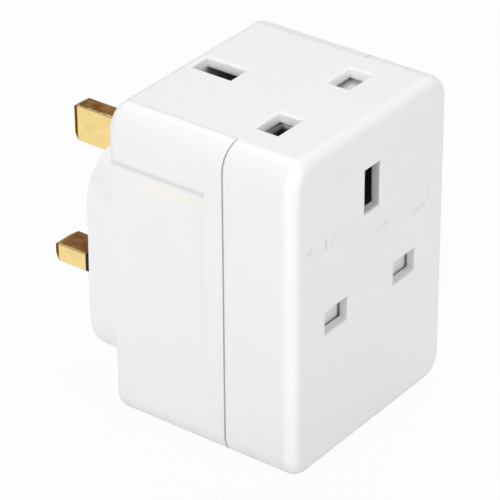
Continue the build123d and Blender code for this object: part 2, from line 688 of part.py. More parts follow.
def socket_pieces(name):
    """Shutter, spring and clips of one socket, placed on its face."""
    side_socket = name != "front"
    line_extra = 0 if side_socket else LINE_EXTRA
    spring_length = SIDE_SPRING_LENGTH if side_socket else SPRING_LENGTH
    pieces = {
        "shutter": shutter(cupped=side_socket),
        "shutter_spring": shutter_spring(spring_length),
        "earth_clip": earth_clip(),
        "line_clip": line_clip(1, line_extra),
        "neutral_clip": line_clip(-1),
    }
    return {f"{name}_{piece}": SOCKETS[name].location * shape for piece, shape in pieces.items()}


def all_pieces():
    pieces = {
        "front_cover": front_cover(),
        "rear_shell": rear_shell(),
        "cover_screws": cover_screws(),
        "earth_pin": earth_pin(),
        "line_pin": line_pin(1),
        "neutral_pin": line_pin(-1),
        "line_sleeve": pin_sleeve(1),
        "neutral_sleeve": pin_sleeve(-1),
        "earth_busbar": earth_busbar(),
        "line_busbar": line_busbar(),
        "neutral_busbar": neutral_busbar(),
        "fuse_link": fuse_link(),
        "line_fuse_clip": fuse_clip(1),
        "load_fuse_clip": fuse_clip(-1),
        "fuse_body": fuse_body(),
        "fuse_caps": fuse_caps(),
        "fuse_carrier": fuse_carrier(),
    }
    for name in SOCKETS:
        pieces.update(socket_pieces(name))
    return pieces


os.makedirs("parts", exist_ok=True)
for node, shape in all_pieces().items():
    export_step(Pos(0, -TOTAL_DEPTH / 2, 0) * shape, f"parts/{node}.step")
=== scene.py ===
"""Looks of a plug-in three-way socket adapter.

White moulded housing, brass pins, shutters, springs and contacts, and the stage that they are seen on.
"""
import math

import bmesh
import bpy
import numpy as np
from bpy.props import FloatProperty, FloatVectorProperty, IntProperty, PointerProperty
from mathutils import Matrix, Vector


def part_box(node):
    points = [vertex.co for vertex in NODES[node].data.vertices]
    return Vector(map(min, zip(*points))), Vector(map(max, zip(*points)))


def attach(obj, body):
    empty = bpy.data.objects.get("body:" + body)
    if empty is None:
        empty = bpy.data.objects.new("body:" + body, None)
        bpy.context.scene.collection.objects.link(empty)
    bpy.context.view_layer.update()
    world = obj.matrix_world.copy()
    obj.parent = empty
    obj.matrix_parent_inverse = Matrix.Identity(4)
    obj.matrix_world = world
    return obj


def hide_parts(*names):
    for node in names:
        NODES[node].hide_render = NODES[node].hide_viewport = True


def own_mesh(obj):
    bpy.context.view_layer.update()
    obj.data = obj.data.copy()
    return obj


bl_info = {
    "name": "Socket Adapter Looks",
    "version": (1, 0, 0),
    "blender": (4, 5, 0),
    "location": "View3D > Sidebar > Adapter",
    "description": "Finishes the housing, pins, shutters, springs and contacts of a three-way socket adapter",
    "category": "Object",
}

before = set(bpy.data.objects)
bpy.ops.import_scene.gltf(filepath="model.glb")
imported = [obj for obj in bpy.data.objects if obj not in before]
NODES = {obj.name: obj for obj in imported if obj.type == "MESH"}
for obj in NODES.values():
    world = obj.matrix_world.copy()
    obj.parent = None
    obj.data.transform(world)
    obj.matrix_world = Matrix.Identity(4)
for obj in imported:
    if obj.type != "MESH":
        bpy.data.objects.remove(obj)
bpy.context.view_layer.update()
SOCKET_NAMES = ("front", "top", "bottom")

# Each shutter spring lies along the way its shutter slides: unit direction from its fixed end to the shutter
SPRING_WAYS = {"front": (0.0, 0.0, 1.0), "top": (0.0, 1.0, 0.0), "bottom": (0.0, 1.0, 0.0)}
SPRING_STEPS = 40
SPRING_EASE = 0.02
FLAT_TURNS = 0.75
WIRE_SIDES = 10


def tone(name, default, description):
    """Colour setting in linear light."""
    return FloatVectorProperty(
        name=name, description=description, subtype="COLOR", size=3, min=0.0, max=1.0, default=default
    )


def factor(name, default, description):
    """Setting from nought to one, such as a roughness."""
    return FloatProperty(
        name=name, description=description, subtype="FACTOR", min=0.0, max=1.0, default=default
    )


def length(name, default, description):
    """Size setting in metres."""
    return FloatProperty(
        name=name, description=description, unit="LENGTH", min=0.0, precision=5, default=default
    )


def power(name, default, description):
    """Lamp setting in watts."""
    return FloatProperty(name=name, description=description, unit="POWER", min=0.0, default=default)


class AdapterHousingSettings(bpy.types.PropertyGroup):
    """Finish of the white mouldings."""

    white: tone("White", (0.87, 0.87, 0.88), "Colour of the cover and the rear shell")
    shutter_white: tone("Shutter white", (0.78, 0.78, 0.79), "Colour of the shutters")
    # Painted shade: the dark colour stands in for the shade down in the trays
    tray_painted_shade: tone("Tray painted shade", (0.11, 0.095, 0.12), "Colour inside the trays at the neutral holes")
    carrier_white: tone("Carrier white", (0.84, 0.84, 0.85), "Colour of the fuse carrier")
    # Painted light: the seam's inside is tinted whiter than the moulding, with a faint painted highlight on
    # both lips
    seam_painted_light: tone("Seam painted light", (0.98, 0.98, 0.98), "Colour down in the seam between the mouldings")
    seam_place: length("Seam place", 0.0159, "Distance from the front face to the middle of the seam")
    # Painted shade: a grey band along the ledges that stands in for the shade under them
    ledge_painted_shade: tone("Ledge painted shade", (0.78, 0.77, 0.78), "Colour of the painted shade along the ledges of the grips")
    ledge_height: length("Ledge height", 0.0559, "Height of the middle of the ledges")
    ledge_place: length("Ledge place", 0.0200, "Distance from the front face to the front end of the ledges")
    cream_tint: tone("Cream tint", (0.92, 0.885, 0.83), "Colour of the faint cream tint below the left ledge")
    sheen: factor("Sheen", 0.42, "Roughness of the outer mouldings")
    scatter: factor("Scatter", 0.4, "Share of the light that scatters inside the outer mouldings")
    scatter_depth: length("Scatter depth", 0.0008, "Distance that the light scatters under the surface")
    grain: length("Grain", 0.0003, "Size of the fine grain left by the mould")
    scuff_tone: tone("Scuff", (0.62, 0.60, 0.62), "Colour of the handling marks on the front face")


class AdapterMetalSettings(bpy.types.PropertyGroup):
    """Finish of the pins, contacts, springs and screws."""

    pin_brass: tone("Pin brass", (0.96, 0.74, 0.32), "Colour of the plug pins")
    # Painted reflection: the dark tips stand in for a dark reflection on the taper
    tip_painted_reflection: tone("Tip painted reflection", (0.22, 0.13, 0.08), "Colour of the pins' tapered tips")
    pin_edge: tone("Pin edge", (0.55, 0.36, 0.16), "Tint of the pins seen at a low angle")
    tip_taper: length("Tip taper", 0.0016, "Length of the taper at the pins' tips")
    contact_brass: tone("Contact brass", (0.70, 0.47, 0.20), "Colour of the clips and strips")
    steel: tone("Steel", (0.55, 0.56, 0.57), "Colour of the springs and screws")
    cap_nickel: tone("Cap nickel", (0.70, 0.68, 0.63), "Colour of the fuse caps")
    sleeve_black: tone("Sleeve black", (0.010, 0.009, 0.011), "Colour of the pin sleeves")
    ceramic: tone("Ceramic", (0.80, 0.76, 0.68), "Colour of the fuse tube")


class AdapterSpringSettings(bpy.types.PropertyGroup):
    """Form of the shutter springs."""

    wire: length("Wire", 0.00045, "Diameter of the spring wire")
    turns: IntProperty(name="Turns", description="Open turns of a shutter spring", min=1, max=12, default=4)


class AdapterStageSettings(bpy.types.PropertyGroup):
    """Camera, lamps and backdrop."""

    eye: FloatVectorProperty(
        name="Eye", description="Place of the camera", subtype="XYZ", unit="LENGTH", size=3,
        default=(-0.40174, -0.31042, 0.32691),
    )
    lens: FloatProperty(
        name="Lens", description="Focal length on a 36 mm frame, in millimetres", default=217.80
    )
    room_light: FloatProperty(
        name="Room light", description="Strength of the even light all round", default=0.36
    )
    right_light: power("Right light", 4.68, "Power of the softbox above on the right")
    left_light: power("Left light", 4.16, "Power of the softbox on the left")
    front_light: power("Front light", 3.22, "Power of the softbox ahead")
    card_brown: tone("Card", (0.21, 0.095, 0.075), "Colour of the card that the pins' tops mirror")


def add(tree, kind, **settings):
    """New node with some of its settings."""
    made = tree.nodes.new(kind)
    for name, value in settings.items():
        setattr(made, name, value)
    return made


def fill(node, **values):
    """Sets a node's inputs by name, with underscores for spaces. A socket given as a value is linked."""
    tree = node.id_data
    for name, value in values.items():
        socket = node.inputs[name.replace("_", " ")]
        if isinstance(value, bpy.types.NodeSocket):
            tree.links.new(value, socket)
        else:
            socket.default_value = value
    return node


def arithmetic(tree, operation, first, second=0.0, clamp=False):
    """Math node on numbers or sockets."""
    made = add(tree, "ShaderNodeMath", operation=operation, use_clamp=clamp)
    for socket, value in zip(made.inputs, (first, second)):
        if isinstance(value, bpy.types.NodeSocket):
            tree.links.new(value, socket)
        else:
            socket.default_value = value
    return made.outputs[0]


def vectors(tree, operation, first, second):
    """Vector Math node on sockets."""
    made = add(tree, "ShaderNodeVectorMath", operation=operation)
    tree.links.new(first, made.inputs[0])
    tree.links.new(second, made.inputs[1])
    return made


def scaled(tree, vector, size):
    """Vector or colour socket times a number socket."""
    made = add(tree, "ShaderNodeVectorMath", operation="SCALE")
    tree.links.new(vector, made.inputs[0])
    tree.links.new(size, made.inputs["Scale"])
    return made.outputs[0]


def ramp(tree, value, low, high, to_low=0.0):
    """Smooth step of a value between two limits, from a start up to one."""
    made = add(tree, "ShaderNodeMapRange", interpolation_type="SMOOTHSTEP")
    fill(made, From_Min=low, From_Max=high, To_Min=to_low, To_Max=1.0, Value=value)
    return made.outputs["Result"]


def apart(tree, value, middle):
    """Distance of a number socket from a fixed value."""
    return arithmetic(tree, "ABSOLUTE", arithmetic(tree, "SUBTRACT", value, middle))


def both(tree, first, second):
    """Mask where two masks meet."""
    return arithmetic(tree, "MULTIPLY", first, second)


def noise(tree, place, scale, detail):
    """Noise value at a place, with its scale per metre."""
    return fill(add(tree, "ShaderNodeTexNoise"), Vector=place, Scale=scale, Detail=detail).outputs["Fac"]


def new_group(name, inputs, outputs):
    """Empty shader node group with named sockets."""
    tree = bpy.data.node_groups.new(name, "ShaderNodeTree")
    for socket, kind, default in inputs:
        made = tree.interface.new_socket(name=socket, in_out="INPUT", socket_type=kind)
        if default is not None:
            made.default_value = default
    for socket, kind in outputs:
        tree.interface.new_socket(name=socket, in_out="OUTPUT", socket_type=kind)
    return tree, add(tree, "NodeGroupInput"), add(tree, "NodeGroupOutput")


def moulded_grain_group():
    """Moulded plastic: fine grain from small noise, and slow drifts of tone and gloss from large noise."""
    if "moulded_grain" in bpy.data.node_groups:
        return bpy.data.node_groups["moulded_grain"]
    tree, given, out = new_group(
        "moulded_grain",
        (
            ("Position", "NodeSocketVector", None),
            ("Color", "NodeSocketColor", (1.0, 1.0, 1.0, 1.0)),
            ("Grain Scale", "NodeSocketFloat", 3000.0),
            ("Tone Drift", "NodeSocketFloat", 0.02),
            ("Roughness", "NodeSocketFloat", 0.4),
            ("Gloss Drift", "NodeSocketFloat", 0.06),
        ),
        (("Color", "NodeSocketColor"), ("Roughness", "NodeSocketFloat"), ("Height", "NodeSocketFloat")),
    )
    place = given.outputs["Position"]
    fine = noise(tree, place, given.outputs["Grain Scale"], detail=3.0)
    swing = arithmetic(tree, "SUBTRACT", noise(tree, place, scale=55.0, detail=2.0), 0.5)
    shade = arithmetic(tree, "ADD", 1.0, arithmetic(tree, "MULTIPLY", swing, given.outputs["Tone Drift"]))
    tree.links.new(scaled(tree, given.outputs["Color"], shade), out.inputs["Color"])
    rough = arithmetic(tree, "MULTIPLY", swing, given.outputs["Gloss Drift"])
    tree.links.new(arithmetic(tree, "ADD", given.outputs["Roughness"], rough), out.inputs["Roughness"])
    tree.links.new(fine, out.inputs["Height"])
    return tree


def handling_mark_group():
    """Soft broken stroke: a mask that fades from one, on the line between two points, to nought at a width
    from it, broken up by noise."""
    if "handling_mark" in bpy.data.node_groups:
        return bpy.data.node_groups["handling_mark"]
    tree, given, out = new_group(
        "handling_mark",
        (
            ("Position", "NodeSocketVector", None),
            ("From", "NodeSocketVector", None),
            ("To", "NodeSocketVector", None),
            ("Width", "NodeSocketFloat", 0.0004),
            ("Strength", "NodeSocketFloat", 1.0),
        ),
        (("Mask", "NodeSocketFloat"),),
    )
    place = given.outputs["Position"]
    along = vectors(tree, "SUBTRACT", given.outputs["To"], given.outputs["From"]).outputs[0]
    offset = vectors(tree, "SUBTRACT", place, given.outputs["From"]).outputs[0]
    reach = vectors(tree, "DOT_PRODUCT", offset, along).outputs["Value"]
    span = vectors(tree, "DOT_PRODUCT", along, along).outputs["Value"]
    share = arithmetic(tree, "DIVIDE", reach, span, clamp=True)
    nearest = scaled(tree, along, share)
    away = vectors(tree, "DISTANCE", offset, nearest).outputs["Value"]
    widths = arithmetic(tree, "DIVIDE", away, given.outputs["Width"])
    near = arithmetic(tree, "SUBTRACT", 1.0, widths, clamp=True)
    speckle = noise(tree, place, scale=2600.0, detail=2.0)
    broken = ramp(tree, speckle, low=0.35, high=0.65, to_low=0.55)
    tree.links.new(both(tree, both(tree, near, broken), given.outputs["Strength"]), out.inputs["Mask"])
    return tree


# Share by which the fine lines change a metal's tone and roughness
STREAK_DEPTH = 0.16


def drawn_metal_group():
    """Drawn or rolled metal: noise stretched along one axis gives fine lines in tone, gloss and height."""
    if "drawn_metal" in bpy.data.node_groups:
        return bpy.data.node_groups["drawn_metal"]
    tree, given, out = new_group(
        "drawn_metal",
        (
            ("Position", "NodeSocketVector", None),
            ("Color", "NodeSocketColor", (1.0, 1.0, 1.0, 1.0)),
            ("Stretch", "NodeSocketVector", (1.0, 1.0, 1.0)),
            ("Scale", "NodeSocketFloat", 2500.0),
            ("Tarnish", "NodeSocketFloat", 0.15),
            ("Roughness", "NodeSocketFloat", 0.25),
        ),
        (("Color", "NodeSocketColor"), ("Roughness", "NodeSocketFloat"), ("Height", "NodeSocketFloat")),
    )
    stretched = vectors(tree, "MULTIPLY", given.outputs["Position"], given.outputs["Stretch"]).outputs[0]
    lines = noise(tree, stretched, given.outputs["Scale"], detail=4.0)
    bloom = ramp(tree, noise(tree, given.outputs["Position"], scale=240.0, detail=5.0), low=0.35, high=0.75)
    stain = arithmetic(tree, "MULTIPLY", bloom, given.outputs["Tarnish"])
    streak = arithmetic(tree, "MULTIPLY", arithmetic(tree, "SUBTRACT", lines, 0.5), STREAK_DEPTH)
    shade = arithmetic(tree, "SUBTRACT", arithmetic(tree, "ADD", 1.0, streak), stain)
    tree.links.new(scaled(tree, given.outputs["Color"], shade), out.inputs["Color"])
    rough = arithmetic(tree, "ADD", given.outputs["Roughness"], arithmetic(tree, "ADD", streak, stain))
    tree.links.new(rough, out.inputs["Roughness"])
    tree.links.new(lines, out.inputs["Height"])
    return tree


def empty_material(name):
    """Material with no nodes but its output."""
    material = bpy.data.materials.new(name)
    material.use_nodes = True
    tree = material.node_tree
    tree.nodes.clear()
    return material, tree, add(tree, "ShaderNodeOutputMaterial").inputs["Surface"]


def blank_material(name):
    """Material with a Principled BSDF and the object's own coordinates."""
    material, tree, shown = empty_material(name)
    surface = add(tree, "ShaderNodeBsdfPrincipled")
    tree.links.new(surface.outputs["BSDF"], shown)
    place = add(tree, "ShaderNodeTexCoord").outputs["Object"]
    return material, tree, surface, place


def placed_group(tree, group, **values):
    """One use of a node group in a material."""
    return fill(add(tree, "ShaderNodeGroup", node_tree=group), **values)


def raise_normal(tree, surface, height, depth, strength):
    """Bump that feeds the surface's normal."""
    bump = fill(add(tree, "ShaderNodeBump"), Height=height, Distance=depth, Strength=strength)
    tree.links.new(bump.outputs["Normal"], surface.inputs["Normal"])


def rgba(colour):
    """Opaque colour."""
    return (*colour, 1.0)


def tint(tree, surface, share, plain, colour):
    """Turns a surface's plain colour into another by a mask, and gives the mixed colour."""
    blend = add(tree, "ShaderNodeMix", data_type="RGBA")
    tree.links.new(share, blend.inputs[0])
    tree.links.new(plain, blend.inputs[6])
    blend.inputs[7].default_value = rgba(colour)
    tree.links.new(blend.outputs[2], surface.inputs["Base Color"])
    return blend.outputs[2]


def plastic(name, colour, roughness, grain=0.0003, drift=0.02):
    """Moulded plastic finish."""
    material, tree, surface, place = blank_material(name)
    grained = placed_group(
        tree, moulded_grain_group(), Position=place, Color=rgba(colour), Grain_Scale=1.0 / grain,
        Tone_Drift=drift, Roughness=roughness,
    )
    fill(surface, Base_Color=grained.outputs["Color"], Roughness=grained.outputs["Roughness"], IOR=1.46)
    raise_normal(tree, surface, grained.outputs["Height"], depth=0.00002, strength=0.12)
    return material, tree, surface, grained, place


# Marks on the front face: start and end as (x, height), width and strength
FRONT_MARKS = (
    ((-0.0200, 0.0481), (-0.0195, 0.0489), 0.0008, 0.75),
    ((-0.0149, 0.0470), (-0.0147, 0.0487), 0.0006, 0.75),
    ((-0.0127, 0.0470), (-0.0126, 0.0492), 0.0008, 0.25),
    ((0.0041, 0.0434), (0.0044, 0.0436), 0.0006, 0.9),
    ((0.0017, 0.0435), (0.0037, 0.0433), 0.0008, 0.25),
    ((0.0095, 0.0415), (0.0095, 0.0433), 0.0007, 0.15),
    ((0.0138, 0.0417), (0.0171, 0.0418), 0.0008, 0.4),
    ((0.0184, 0.0425), (0.0187, 0.0437), 0.0008, 0.2),
    ((0.0024, 0.0032), (0.0024, 0.0041), 0.0007, 0.25),
    ((0.0000, 0.0040), (0.0011, 0.0036), 0.0007, 0.2),
    ((-0.0051, 0.0031), (-0.0050, 0.0041), 0.0007, 0.2),
)

# Cream tint on the left side below the ledge: start, end, width and strength
SIDE_TINT = ((-0.0245, 0.0005, 0.0528), (-0.0245, -0.0130, 0.0535), 0.0028, 1.0)

# Limits between which each mask fades in, in metres
SEAM_FADE = (0.00028, 0.00022)
SEAM_ASIDE = (0.0199, 0.0201)
LEDGE_FADE = (0.0012, 0.0003)
LEDGE_ASIDE = (0.0236, 0.0240)
LEDGE_ENTRY = (-0.0002, 0.0003)
TRAY_FADE = (0.0003, 0.0012)

MARK_ROUGHNESS = 0.2
SHUTTER_ROUGHNESS = 0.5


def stroke(tree, place, start, end, width, strength):
    """Mask of one soft stroke between two points."""
    drawn = placed_group(
        tree, handling_mark_group(), Position=place, From=start, To=end, Width=width, Strength=strength
    )
    return drawn.outputs["Mask"]


def parted(tree, place):
    """X, Y and Z of a place."""
    return fill(add(tree, "ShaderNodeSeparateXYZ"), Vector=place).outputs


def housing_plastic():
    """White moulding with front marks, a cream tint, painted shade at the ledges and painted light in the
    seam.
    """
    look = bpy.context.scene.adapter_housing
    material, tree, surface, grained, place = plastic("housing_plastic", look.white, look.sheen, look.grain)
    fill(surface, Subsurface_Weight=look.scatter, Subsurface_Scale=look.scatter_depth)
    fill(surface, Subsurface_Radius=(1.0, 1.0, 1.0))
    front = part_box("front_cover")[0].y
    marks = None
    for start, end, width, strength in FRONT_MARKS:
        mark = stroke(tree, place, (start[0], front, start[1]), (end[0], front, end[1]), width, strength)
        marks = mark if marks is None else arithmetic(tree, "MAXIMUM", marks, mark)
    shade = tint(tree, surface, marks, grained.outputs["Color"], look.scuff_tone)
    shade = tint(tree, surface, stroke(tree, place, *SIDE_TINT), shade, look.cream_tint)
    spot = parted(tree, place)
    aside = arithmetic(tree, "ABSOLUTE", spot["X"])
    # Painted shade: a grey band along each ledge of the grips, for the shade under the ledge
    ledge = ramp(tree, apart(tree, spot["Z"], look.ledge_height), *LEDGE_FADE)
    ledge = both(tree, ledge, ramp(tree, aside, *LEDGE_ASIDE))
    entry = [front + look.ledge_place + step for step in LEDGE_ENTRY]
    ledge = both(tree, ledge, ramp(tree, spot["Y"], *entry))
    shade = tint(tree, surface, ledge, shade, look.ledge_painted_shade)
    # Painted light: the seam is tinted whiter to lighten its shade, and the band's edges give a faint painted
    # highlight beside it
    seam = ramp(tree, apart(tree, spot["Y"], front + look.seam_place), *SEAM_FADE)
    seam = both(tree, seam, ramp(tree, aside, *SEAM_ASIDE))
    tint(tree, surface, seam, shade, look.seam_painted_light)
    dulled = arithmetic(tree, "MULTIPLY", marks, MARK_ROUGHNESS)
    fill(surface, Roughness=arithmetic(tree, "ADD", grained.outputs["Roughness"], dulled))
    return material


def tray_plastic(name):
    """Pale shutter with painted shade in its tray: a smooth step in Z, inward from the shutter's outer face.
    """
    look = bpy.context.scene.adapter_housing
    material, tree, surface, grained, place = plastic(
        f"{name}_plastic", look.shutter_white, SHUTTER_ROUGHNESS, look.grain
    )
    low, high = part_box(name)
    face, inward = (high.z, -1) if name == "top_shutter" else (low.z, 1)
    fade = [face + step * inward for step in TRAY_FADE]
    # Painted shade: darkens the tray below the shutter's outer face
    depth = ramp(tree, parted(tree, place)["Z"], *fade)
    tint(tree, surface, depth, grained.outputs["Color"], look.tray_painted_shade)
    return material


def drawn_metal_parts(name, colour, roughness, stretch=(1.0, 1.0, 1.0), scale=2500.0, tarnish=0.15):
    """Bare metal with fine lines along its length: the material and the nodes that a finish may build on."""
    material, tree, surface, place = blank_material(name)
    metal = placed_group(
        tree, drawn_metal_group(), Position=place, Color=rgba(colour), Stretch=stretch, Scale=scale,
        Tarnish=tarnish, Roughness=roughness,
    )
    fill(surface, Base_Color=metal.outputs["Color"], Roughness=metal.outputs["Roughness"], Metallic=1.0)
    raise_normal(tree, surface, metal.outputs["Height"], depth=0.00001, strength=0.2)
    return material, tree, surface, metal, place


def drawn_metal(name, colour, **finish):
    """Bare metal with fine lines along its length."""
    return drawn_metal_parts(name, colour, **finish)[0]


# Shares of the taper, from the tip, where the painted dark reflection starts and where it is full
TIP_FADE = (1.0, 0.9)


def pin_brass(name):
    """Brass of one plug pin with a painted dark reflection on its taper: a smooth step in Y where it starts.
    """
    look = bpy.context.scene.adapter_metal
    material, tree, surface, metal, place = drawn_metal_parts(
        f"{name}_brass", look.pin_brass, roughness=0.15, stretch=(1.0, 0.08, 1.0), tarnish=0.1
    )
    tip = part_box(name)[1].y
    fade = [tip - share * look.tip_taper for share in TIP_FADE]
    # Painted dark reflection on the tapered tip
    taper = ramp(tree, parted(tree, place)["Y"], *fade)
    tint(tree, surface, taper, metal.outputs["Color"], look.tip_painted_reflection)
    fill(surface, Specular_Tint=rgba(look.pin_edge))
    return material


def finish_node(name, material):
    """Gives a node's object one material."""
    target = NODES[name]
    target.data.materials.clear()
    target.data.materials.append(material)


def tube_along(points, radius, sides):
    """Closed round tube: rings of a circle in the plane across each point's tangent, with flat end caps.

    Each ring's frame is the tangent, a side across it and their cross product.
    """
    tangent = np.gradient(points, axis=0)
    tangent /= np.linalg.norm(tangent, axis=1, keepdims=True)
    helper = np.where(np.abs(tangent[:, :1]) < 0.9, (1.0, 0.0, 0.0), (0.0, 1.0, 0.0))
    side = np.cross(tangent, helper)
    side /= np.linalg.norm(side, axis=1, keepdims=True)
    up = np.cross(tangent, side)
    turn = np.linspace(0.0, 2.0 * math.pi, sides, endpoint=False)
    ring = np.cos(turn)[None, :, None] * side[:, None, :] + np.sin(turn)[None, :, None] * up[:, None, :]
    vertices = (points[:, None, :] + radius * ring).reshape(-1, 3)
    row, column = np.meshgrid(np.arange(len(points) - 1), np.arange(sides), indexing="ij")
    after = (column + 1) % sides
    this, following = row * sides, (row + 1) * sides
    quads = np.stack((this + column, this + after, following + after, following + column), axis=-1)
    faces = [list(map(int, quad)) for quad in quads.reshape(-1, 4)]
    faces.append(list(range(sides))[::-1])
    faces.append([(len(points) - 1) * sides + index for index in range(sides)])
    return vertices, faces


def spring_path(free, radius, wire, turns):
    """Helix along Z of a free length, with flat turns at both ends.

    Height is wire / 2 + (free - wire) * (share + SPRING_EASE * sin(2 pi share)), where share grows evenly
    from nought to one over the open turns.
    """
    angle = np.linspace(0.0, 2.0 * math.pi * (turns + 2.0 * FLAT_TURNS), SPRING_STEPS * (turns + 2))
    share = np.clip((angle / (2.0 * math.pi) - FLAT_TURNS) / turns, 0.0, 1.0)
    rise = share + SPRING_EASE * np.sin(2.0 * math.pi * share)
    height = wire / 2.0 + (free - wire) * rise
    return np.stack((radius * np.cos(angle), radius * np.sin(angle), height), axis=1)


def new_piece(name, vertices, faces, material, body, slot, *nodes):
    """Mesh piece with smooth shading that stands for CAD nodes on a body."""
    mesh = bpy.data.meshes.new(name)
    mesh.from_pydata(np.asarray(vertices).tolist(), [], faces)
    mesh.validate()
    shape = bmesh.new()
    shape.from_mesh(mesh)
    bmesh.ops.recalc_face_normals(shape, faces=shape.faces)
    shape.to_mesh(mesh)
    shape.free()
    mesh.polygons.foreach_set("use_smooth", np.ones(len(mesh.polygons), bool))
    mesh.materials.append(material)
    piece = bpy.data.objects.new(name, mesh)
    bpy.context.scene.collection.objects.link(piece)
    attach(piece, body)
    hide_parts(*nodes)
    return piece


class ADAPTER_OT_housing(bpy.types.Operator):
    """Finish the front cover and the rear shell"""

    bl_idname = "adapter.housing"
    bl_label = "Housing"

    def execute(self, context):
        white = housing_plastic()
        finish_node("front_cover", white)
        finish_node("rear_shell", white)
        return {"FINISHED"}


class ADAPTER_OT_shutters(bpy.types.Operator):
    """Finish the shutters behind the socket holes"""

    bl_idname = "adapter.shutters"
    bl_label = "Shutters"

    def execute(self, context):
        look = context.scene.adapter_housing
        pale = plastic("shutter_plastic", look.shutter_white, SHUTTER_ROUGHNESS, look.grain)[0]
        finish_node("front_shutter", pale)
        for name in ("top_shutter", "bottom_shutter"):
            finish_node(name, tray_plastic(name))
        return {"FINISHED"}


class ADAPTER_OT_springs(bpy.types.Operator):
    """Wind the shutter springs"""

    bl_idname = "adapter.springs"
    bl_label = "Shutter springs"

    def execute(self, context):
        look = context.scene.adapter_springs
        steel = drawn_metal("spring_steel", context.scene.adapter_metal.steel, roughness=0.3)
        for name in SOCKET_NAMES:
            node = f"{name}_shutter_spring"
            low, high = (np.array(corner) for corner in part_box(node))
            way = np.array(SPRING_WAYS[name])
            size = high - low
            free = float(size @ way)
            across = float(np.median(size))
            if free <= 0.0:
                raise ValueError(f"{node} has no length")
            path = spring_path(free, (across - look.wire) / 2.0, look.wire, look.turns)
            vertices, faces = tube_along(path, look.wire / 2.0, WIRE_SIDES)
            start = (low + high) / 2.0 - way * free / 2.0
            turn = np.array(Vector((0, 0, 1)).rotation_difference(Vector(way)).to_matrix())
            coil = vertices @ turn.T + start
            piece = new_piece(f"{name}_spring_coil", coil, faces, steel, "housing", "spring_steel", node)
            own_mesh(piece)
        return {"FINISHED"}


class ADAPTER_OT_pins(bpy.types.Operator):
    """Finish the plug pins and their sleeves"""

    bl_idname = "adapter.pins"
    bl_label = "Pins and sleeves"

    def execute(self, context):
        look = context.scene.adapter_metal
        for name in ("earth_pin", "line_pin", "neutral_pin"):
            finish_node(name, pin_brass(name))
        black, _, surface, _, _ = plastic("sleeve_plastic", look.sleeve_black, roughness=0.5, grain=0.0002)
        fill(surface, Specular_IOR_Level=0.25)
        for name in ("line_sleeve", "neutral_sleeve"):
            finish_node(name, black)
        return {"FINISHED"}


class ADAPTER_OT_contacts(bpy.types.Operator):
    """Finish the socket clips, the strips and the fuse clips"""

    bl_idname = "adapter.contacts"
    bl_label = "Contacts"

    def execute(self, context):
        look = context.scene.adapter_metal
        sheet = drawn_metal(
            "contact_brass", look.contact_brass, roughness=0.3, stretch=(1.0, 1.0, 0.12), scale=1800.0,
            tarnish=0.25,
        )
        names = ["fuse_link", "line_fuse_clip", "load_fuse_clip"]
        for kind in ("earth", "line", "neutral"):
            names.append(f"{kind}_busbar")
            names += [f"{socket}_{kind}_clip" for socket in SOCKET_NAMES]
        for name in names:
            finish_node(name, sheet)
        return {"FINISHED"}


class ADAPTER_OT_fuse(bpy.types.Operator):
    """Finish the fuse and its carrier"""

    bl_idname = "adapter.fuse"
    bl_label = "Fuse and carrier"

    def execute(self, context):
        metal = context.scene.adapter_metal
        look = context.scene.adapter_housing
        white = plastic("carrier_plastic", look.carrier_white, roughness=0.45, grain=look.grain)[0]
        finish_node("fuse_carrier", white)
        ceramic = plastic("fuse_ceramic", metal.ceramic, roughness=0.7, grain=0.00012, drift=0.06)[0]
        finish_node("fuse_body", ceramic)
        nickel = drawn_metal("fuse_cap_metal", metal.cap_nickel, roughness=0.2, scale=1500.0, tarnish=0.1)
        finish_node("fuse_caps", nickel)
        return {"FINISHED"}


class ADAPTER_OT_screws(bpy.types.Operator):
    """Finish the screws that hold the cover"""

    bl_idname = "adapter.screws"
    bl_label = "Screws"

    def execute(self, context):
        look = context.scene.adapter_metal
        steel = drawn_metal("screw_steel", look.steel, roughness=0.3, scale=2000.0, tarnish=0.2)
        finish_node("cover_screws", steel)
        return {"FINISHED"}


# Floor, a hair below the foot of the part so that the two faces don't coincide
FLOOR_CORNERS = ((-3.0, -3.0, -0.0001), (3.0, -3.0, -0.0001), (3.0, 3.0, -0.0001), (-3.0, 3.0, -0.0001))
FLOOR_TONE = (0.7, 0.7, 0.7)
FLOOR_WHITENESS = 0.95
PURE_WHITE = (1.0, 1.0, 1.0)

# Card behind the part on the right, out of the picture
CARD_CORNERS = ((0.46, 0.64, 0.22), (0.75, 0.26, 0.22), (0.64, 0.18, 0.62), (0.35, 0.56, 0.62))

# Softboxes: name, setting that holds the power, place and size. All are aimed at one point in the part
SOFTBOXES = (
    ("right_softbox", "right_light", (0.40, 0.30, 0.88), 0.5),
    ("left_softbox", "left_light", (-0.88, -0.02, 0.38), 0.3),
    ("front_softbox", "front_light", (-0.12, -0.89, 0.36), 0.3),
)
LAMP_AIM = (0.0, 0.0, 0.035)


def mixed_shader(tree, share, first, second):
    """Mix of two shaders by a number or a mask."""
    made = fill(add(tree, "ShaderNodeMixShader"), Fac=share)
    tree.links.new(first, made.inputs[1])
    tree.links.new(second, made.inputs[2])
    return made.outputs[0]


